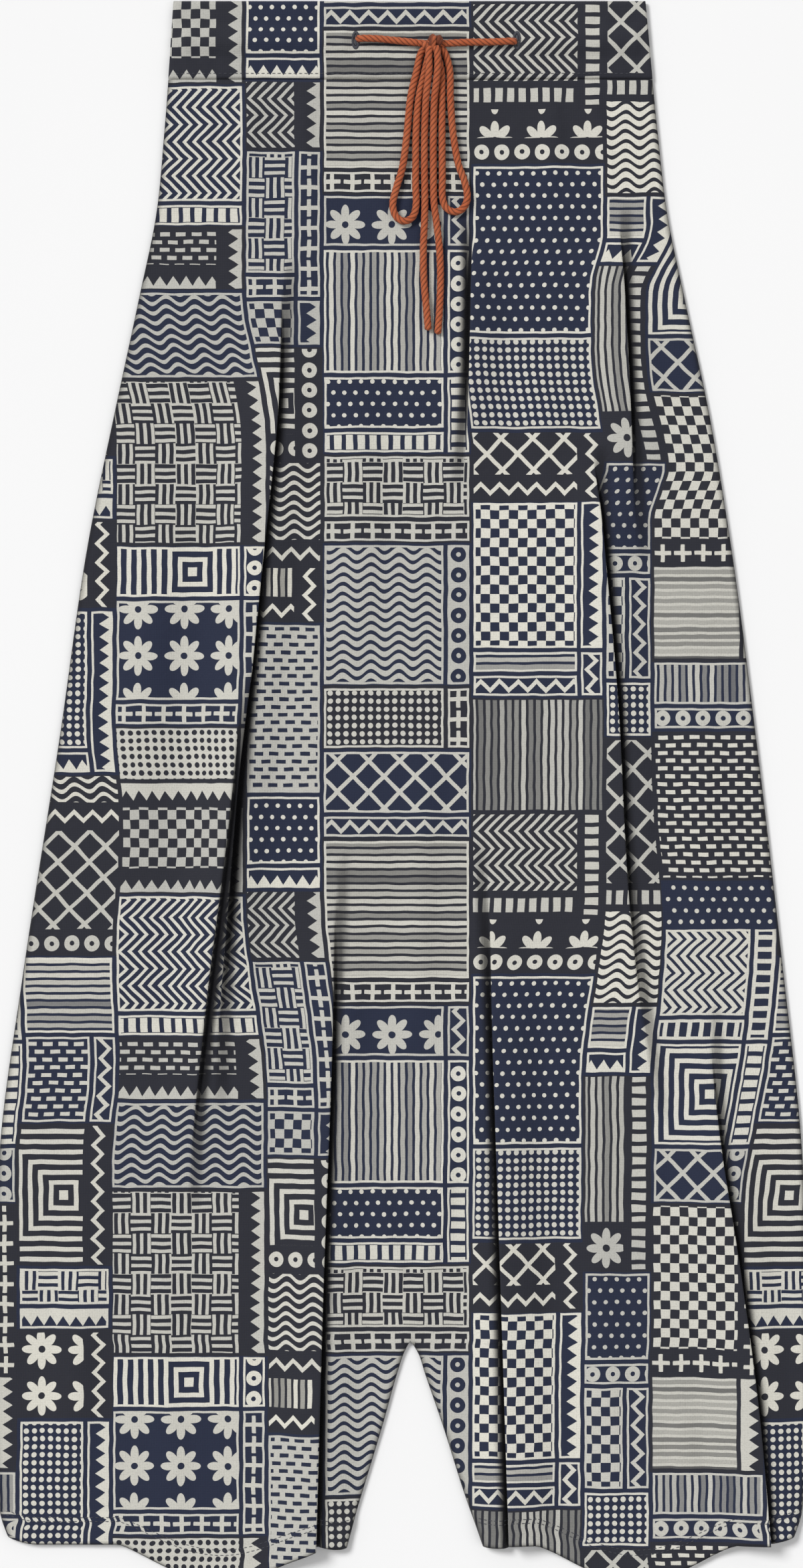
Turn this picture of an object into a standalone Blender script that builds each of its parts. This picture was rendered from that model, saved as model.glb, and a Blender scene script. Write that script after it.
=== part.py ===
"""Loose drop-crotch trousers with a tied drawcord, lying face up on a flat surface.

Metres, +Z up, +Y towards the waist, +X to the viewer's right. The back panel lies flat on
z = 0 and the front panel lies on it. The origin is on the surface, under the middle of the
garment's box. Lengths down the garment are measured from the waist edge and called down,
and places across it are called x.
"""

import math
from collections import namedtuple

import bmesh
import bpy
import numpy as np
from mathutils import Vector
from mathutils.bvhtree import BVHTree

# Main sizes
WAIST_Y = 0.5075  # y of the waist edge
CENTRE_X = 0.006  # the centre line, a little to the right of the middle of the hems
CROTCH = 0.860
HEM = 0.991  # the plain part of the hems
CASING_HEIGHT = 0.050

# Walls, and the gap between pieces that touch on the real garment
CLOTH = 0.0014
CASING_WALL = 0.0018  # doubled cloth
GAP = 0.0003
FRONT_TOP = CLOTH + GAP + CLOTH  # upper face of the front where it lies flat
CASING_TOP = CASING_WALL + GAP + CASING_WALL

# How finely the walls are divided
FRONT_COLUMNS = 36  # in each half
BACK_COLUMNS = 14
CASING_COLUMNS = 40
FRONT_ROWS = (27, 9)  # above and below the crotch
BACK_ROWS = (12, 8)
CASING_ROWS = 8

# Half widths of the outline, measured from x = 0
SideRow = namedtuple("SideRow", "down left right")
SIDES = (
    SideRow(0.000, 0.146, 0.157),
    SideRow(0.085, 0.152, 0.165),
    SideRow(0.136, 0.157, 0.171),
    SideRow(0.190, 0.168, 0.182),
    SideRow(0.265, 0.184, 0.198),
    SideRow(0.343, 0.200, 0.211),
    SideRow(0.472, 0.219, 0.228),
    SideRow(0.627, 0.243, 0.246),
    SideRow(0.730, 0.257, 0.257),
    SideRow(0.860, 0.261, 0.261),
    SideRow(0.955, 0.259, 0.259),
    SideRow(0.975, 0.257, 0.257),
    SideRow(0.992, 0.252, 0.252),
)

# Half widths of the gap between the legs, measured from the centre line
LEG_GAP = (
    SideRow(0.860, 0.000, 0.000),
    SideRow(0.868, 0.004, 0.005),
    SideRow(0.880, 0.008, 0.009),
    SideRow(0.912, 0.017, 0.020),
    SideRow(0.965, 0.033, 0.037),
    SideRow(0.992, 0.041, 0.047),
)

# Where a hem hangs below its plain level
Dip = namedtuple("Dip", "x half_width depth")
HEM_DIPS = (
    Dip(-0.115, 0.066, 0.024),
    Dip(-0.040, 0.012, 0.003),
    Dip(0.060, 0.012, 0.002),
    Dip(0.151, 0.064, 0.024),
)
HEM_BLEND = 0.080  # the rows above the hem take up its curve over this length
CORNER_RISE = 0.005  # the hem rises towards the side seam
CORNER_RUN = 0.020

# Soft folds of the front. A fold's steep side falls to its line, its long soft side lies to
# the left (-1) or the right (1), it grows and dies away over its two fades, and its line is
# given as (down, x).
Fold = namedtuple("Fold", "height soft_side soft steep fade_top fade_bottom line")
FOLDS = (
    Fold(0.010, -1, 0.034, 0.007, 0.12, 0.18,
         ((0.165, -0.075), (0.267, -0.080), (0.364, -0.090), (0.467, -0.100), (0.710, -0.120))),
    Fold(0.006, -1, 0.022, 0.006, 0.09, 0.12,
         ((0.430, -0.104), (0.515, -0.112), (0.645, -0.126), (0.775, -0.137))),
    Fold(0.006, 1, 0.024, 0.006, 0.05, 0.09,
         ((0.137, 0.046), (0.261, 0.043), (0.312, 0.040))),
    Fold(0.007, -1, 0.028, 0.006, 0.06, 0.12,
         ((0.132, 0.140), (0.246, 0.146), (0.360, 0.152))),
    Fold(0.009, -1, 0.034, 0.007, 0.05, 0.26,
         ((0.285, 0.123), (0.337, 0.128), (0.436, 0.137), (0.577, 0.146), (0.720, 0.164))),
    Fold(0.009, -1, 0.032, 0.007, 0.16, 0.00,
         ((0.545, -0.041), (0.678, -0.045), (0.810, -0.050), (1.020, -0.056))),
    Fold(0.009, 1, 0.032, 0.007, 0.16, 0.00,
         ((0.540, 0.055), (0.740, 0.062), (0.862, 0.066), (1.020, 0.071))),
    Fold(0.010, -1, 0.034, 0.007, 0.14, 0.00,
         ((0.645, 0.197), (0.749, 0.206), (0.808, 0.215), (0.897, 0.227), (1.020, 0.238))),
)
CROWDING = 4.0  # the columns stand this much closer along a fold
CROWD_WIDTH = 0.008

# The drawcord, and how its hidden part lifts the front of the casing
CORD = 0.0048  # diameter
CORD_DOWN = 0.0255
CORD_SWELL = 0.0032
SWELL_WIDTH = 0.0110  # half width
SWELL_END = 0.010  # the swell dies away over this length at each end
BUTTONHOLES = (-0.0290, 0.0745)  # x of the two
LONGEST_STEP = 0.0130  # between the points of a cord's tube
MOST_TURN = 0.50  # radians between them
ABOVE_ALL = 0.100  # a height above the whole garment

# The bow
KNOT_PLACE = (0.0205, 0.0280)  # x and down of its middle
KNOT_SIZE = (0.0160, 0.0122, 0.0108)
KNOT_ROUNDING = 0.0038

# The cord's routes, as x, down and lift: the height above the cloth's own
ROUTES = {
    "cord_lead_left": (
        (-0.0285, 0.0245, 0.0),
        (-0.0150, 0.0248, 0.0),
        (0.0000, 0.0262, 0.0),
        (0.0120, 0.0275, 0.0),
    ),
    "cord_lead_right": (
        (0.0290, 0.0278, 0.0),
        (0.0420, 0.0270, 0.0),
        (0.0590, 0.0268, 0.0),
        (0.0740, 0.0262, 0.0),
    ),
    "cord_loop_left": (
        (0.0126, 0.0346, 0.0),
        (0.0100, 0.0460, 0.0),
        (0.0061, 0.0632, 0.0),
        (0.0040, 0.0847, 0.0),
        (0.0012, 0.1062, 0.0),
        (-0.0028, 0.1200, 0.0),
        (-0.0052, 0.1310, 0.0),
        (-0.0030, 0.1387, 0.0),
        (0.0024, 0.1416, 0.0),
        (0.0078, 0.1385, 0.0),
        (0.0098, 0.1305, 0.0),
        (0.0094, 0.1180, 0.0),
        (0.0095, 0.1062, 0.0),
        (0.0097, 0.0847, 0.0),
        (0.0114, 0.0632, 0.0),
        (0.0153, 0.0460, 0.0),
        (0.0179, 0.0346, 0.0),
    ),
    "cord_loop_right": (
        (0.0285, 0.0346, 0.0),
        (0.0314, 0.0460, 0.0),
        (0.0318, 0.0632, 0.0),
        (0.0334, 0.0847, 0.0),
        (0.0366, 0.1040, 0.0),
        (0.0408, 0.1160, 0.0),
        (0.0426, 0.1262, 0.0),
        (0.0402, 0.1330, 0.0),
        (0.0346, 0.1357, 0.0),
        (0.0288, 0.1328, 0.0),
        (0.0266, 0.1255, 0.0),
        (0.0266, 0.1150, 0.0),
        (0.0265, 0.1040, 0.0),
        (0.0264, 0.0847, 0.0),
        (0.0263, 0.0632, 0.0),
        (0.0260, 0.0460, 0.0),
        (0.0232, 0.0346, 0.0),
    ),
    "cord_tail_left": (
        (0.0179, 0.0346, 0.0054),
        (0.0180, 0.0460, 0.0047),
        (0.0161, 0.0632, 0.0026),
        (0.0152, 0.0847, 0.0),
        (0.0151, 0.1062, 0.0),
        (0.0154, 0.1277, 0.0),
        (0.0151, 0.1420, 0.0),
        (0.0144, 0.1600, 0.0),
        (0.0148, 0.1800, 0.0),
        (0.0165, 0.1990, 0.0),
        (0.0176, 0.2120, 0.0),
    ),
    "cord_tail_right": (
        (0.0233, 0.0346, 0.0054),
        (0.0234, 0.0460, 0.0047),
        (0.0215, 0.0632, 0.0026),
        (0.0208, 0.0847, 0.0),
        (0.0208, 0.1062, 0.0),
        (0.0211, 0.1277, 0.0),
        (0.0228, 0.1420, 0.0),
        (0.0248, 0.1600, 0.0),
        (0.0254, 0.1800, 0.0),
        (0.0247, 0.2000, 0.0),
        (0.0236, 0.2145, 0.0),
    ),
}


def smooth_step(t):
    """0 to 1 with soft ends."""
    t = min(max(t, 0.0), 1.0)
    return t * t * (3 - 2 * t)


def bell(t):
    """1 at t = 0, falling to 0 at t = -1 and 1."""
    return math.cos(math.pi / 2 * t) ** 1.2 if abs(t) < 1 else 0.0


def along(rows, column, at):
    """A column of a table read at any place between its rows, on a smooth curve through them."""
    places = [row[0] for row in rows]
    values = [row[column] for row in rows]
    slopes = np.gradient(values, places)
    i = int(np.clip(np.searchsorted(places, at) - 1, 0, len(places) - 2))
    step = places[i + 1] - places[i]
    t = min(max((at - places[i]) / step, 0.0), 1.0)
    return float(
        values[i] * (1 + 2 * t) * (1 - t) ** 2
        + values[i + 1] * t * t * (3 - 2 * t)
        + step * slopes[i] * t * (1 - t) ** 2
        - step * slopes[i + 1] * t * t * (1 - t)
    )


def outer_x(level, side):
    """x of the outline on a side, -1 for the left and 1 for the right."""
    return side * along(SIDES, 1 if side < 0 else 2, level)


def inner_x(level, side):
    """x of the centre line, or below the crotch of a leg's inner edge."""
    if level <= CROTCH:
        return CENTRE_X
    return CENTRE_X + side * along(LEG_GAP, 1 if side < 0 else 2, level)


def hem_shift(x, side):
    """How far the hem lies below its plain level at x."""
    dips = sum(dip.depth * bell((x - dip.x) / dip.half_width) for dip in HEM_DIPS)
    to_side = abs(outer_x(HEM, side) - x) / CORNER_RUN
    return dips - CORNER_RISE * max(1 - to_side, 0.0) ** 2


def fold_strength(fold, down):
    """0 to 1 down a fold's length."""
    start, end = fold.line[0][0], fold.line[-1][0]
    if not start <= down <= end:
        return 0.0
    grown = smooth_step((down - start) / fold.fade_top)
    return grown * (smooth_step((end - down) / fold.fade_bottom) if fold.fade_bottom else 1.0)


def fold_height(x, down):
    """How far the front stands above where it would lie flat."""
    total = 0.0
    for fold in FOLDS:
        strength = fold_strength(fold, down)
        if not strength:
            continue
        onto_soft = (x - along(fold.line, 1, down)) * fold.soft_side - fold.steep / 2
        width = fold.soft if onto_soft > 0 else fold.steep
        total += fold.height * strength * smooth_step(1 - abs(onto_soft) / width)
    return total


def casing_swell(x, down):
    """How far the cord inside lifts the front of the casing."""
    left, right = BUTTONHOLES
    into_casing = max(left - x, x - right) / SWELL_END
    side = 1 if x > CENTRE_X else -1
    to_side = abs(outer_x(down, side) - x) / SWELL_END
    ends = smooth_step(into_casing) * smooth_step(to_side)
    return CORD_SWELL * ends * bell((down - CORD_DOWN) / SWELL_WIDTH)


def columns_of(level, side, count, peaks):
    """count + 1 places from the inner edge to the outer, closer together along the folds."""
    inner, outer = inner_x(level, side), outer_x(level, side)
    xs = np.linspace(inner, outer, 400)
    density = np.ones_like(xs)
    for fold in peaks:
        line = along(fold.line, 1, level)
        near = np.exp(-(((xs - line) / CROWD_WIDTH) ** 2))
        density += CROWDING * math.sqrt(fold_strength(fold, level)) * near
    steps = (density[1:] + density[:-1]) / 2
    total = np.concatenate([[0.0], np.cumsum(steps)])
    return np.interp(np.linspace(0, total[-1], count + 1), total, xs)


def material(name, colour, roughness):
    made = bpy.data.materials.new(name)
    made.use_nodes = True
    made.diffuse_color = (*colour, 1)
    shader = made.node_tree.nodes["Principled BSDF"]
    shader.inputs["Base Color"].default_value = (*colour, 1)
    shader.inputs["Roughness"].default_value = roughness
    shader.inputs["Metallic"].default_value = 0.0
    return made


def add_object(name, data, look):
    data.materials.append(look)
    made = bpy.data.objects.new(name, data)
    COLLECTION.objects.link(made)
    return made


def add_wall(obj, thickness):
    """Gives an upward-facing sheet a wall below it."""
    wall = obj.modifiers.new("Wall", "SOLIDIFY")
    wall.thickness = thickness
    wall.offset = -1.0
    obj.data.shade_smooth()


def panel(name, columns, rows, height_of, peaks, look):
    """Front or back: one grid of both legs, open between them below the crotch."""
    above, below = rows
    levels = np.concatenate(
        [
            np.linspace(CASING_HEIGHT + GAP, CROTCH, above + 1),
            np.linspace(CROTCH, HEM, below + 1)[1:],
        ]
    )
    bm = bmesh.new()
    bmesh.ops.create_grid(bm, x_segments=2 * columns, y_segments=above + below, size=1.0)

    def row_of(vert):
        return round((1 - vert.co.y) / 2 * (above + below))

    def on_centre(vert):
        return abs(vert.co.x) < 0.5 / columns

    gap_edges = [
        edge
        for edge in bm.edges
        if all(on_centre(v) for v in edge.verts) and min(row_of(v) for v in edge.verts) >= above
    ]
    bmesh.ops.split_edges(bm, edges=gap_edges)
    places = {}
    for row, level in enumerate(levels):
        for side in (-1, 1):
            places[row, side] = columns_of(level, side, columns, peaks)
    for vert in bm.verts:
        row = row_of(vert)
        middle = sum(face.calc_center_median().x for face in vert.link_faces)
        side = -1 if middle < -1e-6 else 1
        vert.index = row * 2 + (side > 0)
    moves = []
    for vert in bm.verts:
        row, side = vert.index // 2, 1 if vert.index % 2 else -1
        x = float(places[row, side][round(abs(vert.co.x) * columns)])
        blend = smooth_step((levels[row] - HEM + HEM_BLEND) / HEM_BLEND)
        down = float(levels[row]) + hem_shift(x, side) * blend
        moves.append((vert, (x, WAIST_Y - down, height_of(x, down))))
    for vert, place in moves:
        vert.co = place
    mesh = bpy.data.meshes.new(name)
    bm.to_mesh(mesh)
    bm.free()
    obj = add_object(name, mesh, look)
    add_wall(obj, CLOTH)
    return obj


def casing(name, columns, rows, height_of, look):
    """One side of the drawn casing: a strip between the side outlines."""
    bm = bmesh.new()
    bmesh.ops.create_grid(bm, x_segments=columns, y_segments=rows, size=1.0)
    for vert in bm.verts:
        down = (1 - vert.co.y) / 2 * CASING_HEIGHT
        left, right = outer_x(down, -1), outer_x(down, 1)
        x = left + (right - left) * (1 + vert.co.x) / 2
        vert.co = (x, WAIST_Y - down, height_of(x, down))
    mesh = bpy.data.meshes.new(name)
    bm.to_mesh(mesh)
    bm.free()
    obj = add_object(name, mesh, look)
    add_wall(obj, CASING_WALL)
    return obj


def highest_near(x, down, reach, cloths):
    """The cloth's highest point within reach of a place, felt from above."""
    steps = (-reach, -reach / 2, 0.0, reach / 2, reach)
    highest = 0.0
    for dx in steps:
        for dy in steps:
            above = Vector((x + dx, WAIST_Y - down + dy, ABOVE_ALL))
            for cloth in cloths:
                hit = cloth.ray_cast(above, Vector((0, 0, -1)))[0]
                if hit:
                    highest = max(highest, hit.z)
    return highest


def smooth_line(points, between=12):
    """A Catmull-Rom curve through points, read between times in each stretch."""
    points = np.array(points)
    ends = np.array([2 * points[0] - points[1], 2 * points[-1] - points[-2]])
    held = np.vstack([ends[:1], points, ends[1:]])
    line = []
    for a, b, c, d in zip(held, held[1:], held[2:], held[3:]):
        for t in np.arange(between) / between:
            line.append(
                0.5 * (2 * b + (c - a) * t + (2 * a - 5 * b + 4 * c - d) * t**2 + (3 * b - a - 3 * c + d) * t**3)
            )
    line.append(points[-1])
    return np.array(line)


def thinned(line):
    """The points of a fine line that its bends and length need."""
    kept = [0]
    for i in range(1, len(line) - 1):
        last = kept[-1]
        far = np.linalg.norm(line[i] - line[last])
        first = Vector(line[last + 1] - line[last])
        turn = first.angle(Vector(line[i + 1] - line[i]))
        if far > LONGEST_STEP or (turn > MOST_TURN and far > CORD / 2):
            kept.append(i)
    kept.append(len(line) - 1)
    return line[kept]


def cord(name, route, cloths, look):
    """A round tube that lies on the cloth along its route."""
    fine = smooth_line(route)
    felt = [highest_near(x, down, CORD / 2, cloths) for x, down, lift in fine]
    run = np.concatenate([[0.0], np.cumsum(np.linalg.norm(np.diff(fine[:, :2], axis=0), axis=1))])
    for i, point in enumerate(fine):
        x, down, lift = point
        near = np.abs(run - run[i]) <= LONGEST_STEP
        base = max(np.array(felt)[near])
        point[:] = (x, WAIST_Y - down, base + GAP + CORD / 2 + lift)
    points = thinned(fine)
    data = bpy.data.curves.new(name, "CURVE")
    data.dimensions = "3D"
    data.bevel_depth = CORD / 2
    data.bevel_resolution = 2
    data.use_fill_caps = True
    spline = data.splines.new("POLY")
    spline.points.add(len(points) - 1)
    for held, place in zip(spline.points, points):
        held.co = (*place, 1)
    return add_object(name, data, look)


def knot(cloths, look):
    """The bow's knot, a rounded lump on the casing."""
    x, down = KNOT_PLACE
    base = highest_near(x, down, KNOT_SIZE[1] / 2, cloths) + GAP
    bm = bmesh.new()
    bmesh.ops.create_cube(bm, size=1.0)
    bmesh.ops.scale(bm, vec=KNOT_SIZE, verts=bm.verts)
    mesh = bpy.data.meshes.new("bow_knot")
    bm.to_mesh(mesh)
    bm.free()
    obj = add_object("bow_knot", mesh, look)
    obj.location = (x, WAIST_Y - down, base + KNOT_SIZE[2] / 2)
    rounding = obj.modifiers.new("Rounding", "BEVEL")
    rounding.width = KNOT_ROUNDING
    rounding.segments = 3
    mesh.shade_smooth()
    return obj


for old in list(bpy.data.objects):
    bpy.data.objects.remove(old, do_unlink=True)
COLLECTION = bpy.data.collections.new("drop_crotch_trousers")
bpy.context.scene.collection.children.link(COLLECTION)

PRINTED_CLOTH = material("printed_cloth", (0.13, 0.13, 0.14), 0.85)
CASING_CLOTH = material("casing_cloth", (0.15, 0.15, 0.16), 0.85)
CORD_YARN = material("cord_yarn", (0.36, 0.105, 0.045), 0.8)

panel("back_panel", BACK_COLUMNS, BACK_ROWS, lambda x, down: CLOTH, (), PRINTED_CLOTH)
front = panel(
    "front_panel",
    FRONT_COLUMNS,
    FRONT_ROWS,
    lambda x, down: FRONT_TOP + fold_height(x, down),
    FOLDS,
    PRINTED_CLOTH,
)
casing("waist_casing_back", 8, 1, lambda x, down: CASING_WALL, CASING_CLOTH)
casing_front = casing(
    "waist_casing_front",
    CASING_COLUMNS,
    CASING_ROWS,
    lambda x, down: CASING_TOP + casing_swell(x, down),
    CASING_CLOTH,
)
bpy.context.view_layer.update()
graph = bpy.context.evaluated_depsgraph_get()
under_cord = [BVHTree.FromObject(piece, graph) for piece in (front, casing_front)]
for cord_name, cord_route in ROUTES.items():
    cord(cord_name, cord_route, under_cord, CORD_YARN)
knot(under_cord, CORD_YARN)
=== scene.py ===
# %% [markdown]
# # Loose drop-crotch trousers with a tied drawcord, laid flat
#
# The trousers lie face up on the floor, the back panel under the front one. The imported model
# is a plain wall for each piece that a maker cuts. It is loaded here as a fixed frame, and
# each wall is then dressed with a finer cloth that has the same outline and the same folds.
# Everything is in metres, with +Z up and +Y towards the waist.

import math
from collections import namedtuple

import bmesh
import bpy
import numpy as np
from mathutils import Matrix, Vector, noise
from mathutils.bvhtree import BVHTree


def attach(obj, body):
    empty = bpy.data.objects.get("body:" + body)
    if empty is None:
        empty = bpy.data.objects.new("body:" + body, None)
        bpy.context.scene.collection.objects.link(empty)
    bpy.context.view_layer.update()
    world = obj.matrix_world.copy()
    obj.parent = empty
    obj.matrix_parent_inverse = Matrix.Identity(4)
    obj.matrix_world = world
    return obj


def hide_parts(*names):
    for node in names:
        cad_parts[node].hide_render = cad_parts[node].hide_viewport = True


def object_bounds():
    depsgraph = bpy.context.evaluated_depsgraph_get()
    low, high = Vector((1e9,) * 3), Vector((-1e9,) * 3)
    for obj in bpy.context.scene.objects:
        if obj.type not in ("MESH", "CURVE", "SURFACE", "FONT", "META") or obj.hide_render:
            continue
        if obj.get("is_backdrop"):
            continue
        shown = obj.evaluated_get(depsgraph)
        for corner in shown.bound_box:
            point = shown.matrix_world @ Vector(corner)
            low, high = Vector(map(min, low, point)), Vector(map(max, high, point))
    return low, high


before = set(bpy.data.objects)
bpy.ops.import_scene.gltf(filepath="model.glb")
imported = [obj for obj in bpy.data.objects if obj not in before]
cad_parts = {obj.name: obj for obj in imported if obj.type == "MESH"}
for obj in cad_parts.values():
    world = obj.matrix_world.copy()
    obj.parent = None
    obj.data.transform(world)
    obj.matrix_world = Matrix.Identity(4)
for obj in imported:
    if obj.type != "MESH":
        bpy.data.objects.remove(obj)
CAD_BOX = [list(corner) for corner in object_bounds()]
print("nodes:", sorted(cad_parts))

# %% [markdown]
# ## Camera
#
# A flat lay is photographed straight down. A long lens from far away keeps the edges of the
# cloth as straight as a drawing shows them. An orthographic camera would do that too, but a
# long perspective lens is what a studio has above its table. The sensor is fitted to the
# height, because the picture is tall.

# %% Camera
VIEW_CENTRE = (0.0004, 0.0048)
VIEW_HEIGHT = 1.008  # how much of the floor the picture's height takes in
LENS_MM, SENSOR_MM = 100.0, 36.0
CAMERA_HEIGHT = VIEW_HEIGHT * LENS_MM / SENSOR_MM

camera_data = bpy.data.cameras.new("above")
camera_data.lens = LENS_MM
camera_data.sensor_fit = "VERTICAL"
camera_data.sensor_height = SENSOR_MM
camera_data.clip_end = 20.0
camera = bpy.data.objects.new("above", camera_data)
camera.location = (*VIEW_CENTRE, CAMERA_HEIGHT)
bpy.context.scene.collection.objects.link(camera)
bpy.context.scene.camera = camera
print(f"camera {CAMERA_HEIGHT:.2f} m above the cloth")

# %% [markdown]
# ## Socket arithmetic
#
# A material is a little program. Wiring its Math nodes one by one hides what they say, so a
# small class wraps a socket and lets Python's own operators add the nodes: `a * 2 + b` makes
# a multiply node and an add node. Every other kind of node comes from one method.


# %% Socket arithmetic
class Signal:
    """A socket of a finish. Operators on it add the Math nodes that do the same."""

    def __init__(self, finish, socket):
        self.finish, self.socket = finish, socket

    def maths(self, operation, *values):
        return self.finish.node("ShaderNodeMath", {"operation": operation}, dict(enumerate(values)))

    def __add__(self, other):
        return self.maths("ADD", self, other)

    def __sub__(self, other):
        return self.maths("SUBTRACT", self, other)

    def __rsub__(self, other):
        return self.maths("SUBTRACT", other, self)

    def __mul__(self, other):
        return self.maths("MULTIPLY", self, other)

    def __rmul__(self, other):
        return self.maths("MULTIPLY", other, self)

    def __truediv__(self, other):
        return self.maths("DIVIDE", self, other)

    def __abs__(self):
        return self.maths("ABSOLUTE", self)

    def __lt__(self, other):
        return self.maths("LESS_THAN", self, other)

    def __gt__(self, other):
        return self.maths("GREATER_THAN", self, other)

    def fraction(self):
        return self.maths("FRACT", self)

    def whole(self):
        return self.maths("FLOOR", self)

    def swing(self, reach):
        """A triangle wave between 0 and reach."""
        return self.maths("PINGPONG", self, reach)

    def wave(self, length):
        return self.maths("SINE", self * (2 * math.pi / length))

    def least(self, other):
        return self.maths("MINIMUM", self, other)

    def most(self, other):
        return self.maths("MAXIMUM", self, other)


class Finish:
    """A material, and the nodes that make it."""

    def __init__(self, name, **constants):
        self.material = bpy.data.materials.new(name)
        self.material.use_nodes = True
        self.tree = self.material.node_tree
        self.shader = self.tree.nodes["Principled BSDF"]
        for socket, value in constants.items():
            self.shader.inputs[socket.replace("_", " ")].default_value = value

    def node(self, kind, settings=None, values=None, output=0):
        made = self.tree.nodes.new(kind)
        for setting, value in (settings or {}).items():
            if setting == "stops":
                self.set_stops(made.color_ramp, value)
            else:
                setattr(made, setting, value)
        for socket, value in (values or {}).items():
            if isinstance(value, Signal):
                self.tree.links.new(value.socket, made.inputs[socket])
            else:
                made.inputs[socket].default_value = value
        if isinstance(output, tuple):
            return tuple(Signal(self, made.outputs[each]) for each in output)
        return Signal(self, made.outputs[output])

    @staticmethod
    def set_stops(ramp, stops):
        """A ramp of flat steps: each stop's colour holds up to the next stop."""
        ramp.interpolation = "CONSTANT"
        ramp.elements.remove(ramp.elements[1])
        for i, (position, colour) in enumerate(stops):
            stop = ramp.elements.new(position) if i else ramp.elements[0]
            stop.position = position
            stop.color = colour

    def pick(self, factor, low, high):
        """low where factor is 0, high where it is 1."""
        return self.node("ShaderNodeMix", {"data_type": "FLOAT"}, {0: factor, 2: low, 3: high})

    def colour(self, factor, low, high):
        kind = {"data_type": "RGBA"}
        return self.node("ShaderNodeMix", kind, {0: factor, 6: low, 7: high}, output=2)

    def surface_uv(self):
        """The piece's own UV map as two signals, in metres along the cloth or the cord."""
        uv = self.node("ShaderNodeUVMap", {"uv_map": "UVMap"})
        return self.node("ShaderNodeSeparateXYZ", None, {0: uv}, output=(0, 1))

    def relief(self, height, distance=1.0):
        """A height in metres as a bump on the shader."""
        bump = self.node("ShaderNodeBump", None, {"Height": height, "Distance": distance})
        self.feed("Normal", bump)

    def feed(self, socket, signal):
        self.tree.links.new(signal.socket, self.shader.inputs[socket])


def linear(red, green, blue):
    """A screen colour from 0 to 255 as the linear colour that a shader takes."""
    parts = [c / 255 for c in (red, green, blue)]
    return (*[p / 12.92 if p <= 0.04045 else ((p + 0.055) / 1.055) ** 2.4 for p in parts], 1.0)


print("linear cream:", [round(c, 3) for c in linear(215, 212, 200)])

# %% [markdown]
# ## The drawcord
#
# One soft round cord runs inside the waist casing, comes out of two buttonholes and is tied
# in a bow. What shows is two leads, two loops and two tails. A curve with a round bevel would
# give a smooth tube. The real cord is four plies twisted together, so each stretch is a grid
# that is wrapped into a tube whose radius swells with the plies. The grid keeps a clean UV
# map: across it is the way round the cord, along it is the length in metres.
#
# The routes are given as x, down from the waist edge, and lift above the cloth.

# %% The cord's routes
WAIST_Y = 0.5075  # y of the waist edge
CORD = 0.0048  # diameter
GAP = 0.0003
ABOVE_ALL = 0.100
LAY_REACH = 0.0130  # a cord bridges the dips of the cloth over this length
KNOT_X, KNOT_DOWN = 0.0205, 0.0280
ROUTES = {
    "cord_lead_left": (
        (-0.0285, 0.0245, 0.0), (-0.0150, 0.0248, 0.0), (0.0000, 0.0262, 0.0),
        (0.0120, 0.0275, 0.0),
    ),
    "cord_lead_right": (
        (0.0290, 0.0278, 0.0), (0.0420, 0.0270, 0.0), (0.0590, 0.0268, 0.0),
        (0.0740, 0.0262, 0.0),
    ),
    "cord_loop_left": (
        (0.0126, 0.0346, 0.0), (0.0100, 0.0460, 0.0), (0.0061, 0.0632, 0.0),
        (0.0040, 0.0847, 0.0), (0.0012, 0.1062, 0.0), (-0.0028, 0.1200, 0.0),
        (-0.0052, 0.1310, 0.0), (-0.0030, 0.1387, 0.0), (0.0024, 0.1416, 0.0),
        (0.0078, 0.1385, 0.0), (0.0098, 0.1305, 0.0), (0.0094, 0.1180, 0.0),
        (0.0095, 0.1062, 0.0), (0.0097, 0.0847, 0.0), (0.0114, 0.0632, 0.0),
        (0.0153, 0.0460, 0.0), (0.0179, 0.0346, 0.0),
    ),
    "cord_loop_right": (
        (0.0285, 0.0346, 0.0), (0.0314, 0.0460, 0.0), (0.0318, 0.0632, 0.0),
        (0.0334, 0.0847, 0.0), (0.0366, 0.1040, 0.0), (0.0408, 0.1160, 0.0),
        (0.0426, 0.1262, 0.0), (0.0402, 0.1330, 0.0), (0.0346, 0.1357, 0.0),
        (0.0288, 0.1328, 0.0), (0.0266, 0.1255, 0.0), (0.0266, 0.1150, 0.0),
        (0.0265, 0.1040, 0.0), (0.0264, 0.0847, 0.0), (0.0263, 0.0632, 0.0),
        (0.0260, 0.0460, 0.0), (0.0232, 0.0346, 0.0),
    ),
    "cord_tail_left": (
        (0.0179, 0.0346, 0.0054), (0.0180, 0.0460, 0.0047), (0.0161, 0.0632, 0.0026),
        (0.0152, 0.0847, 0.0), (0.0151, 0.1062, 0.0), (0.0154, 0.1277, 0.0),
        (0.0151, 0.1420, 0.0), (0.0144, 0.1600, 0.0), (0.0148, 0.1800, 0.0),
        (0.0165, 0.1990, 0.0), (0.0176, 0.2120, 0.0),
    ),
    "cord_tail_right": (
        (0.0233, 0.0346, 0.0054), (0.0234, 0.0460, 0.0047), (0.0215, 0.0632, 0.0026),
        (0.0208, 0.0847, 0.0), (0.0208, 0.1062, 0.0), (0.0211, 0.1277, 0.0),
        (0.0228, 0.1420, 0.0), (0.0248, 0.1600, 0.0), (0.0254, 0.1800, 0.0),
        (0.0247, 0.2000, 0.0), (0.0236, 0.2145, 0.0),
    ),
}
TUCKED_IN = 0.0050  # how far a strand runs on under the knot


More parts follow.
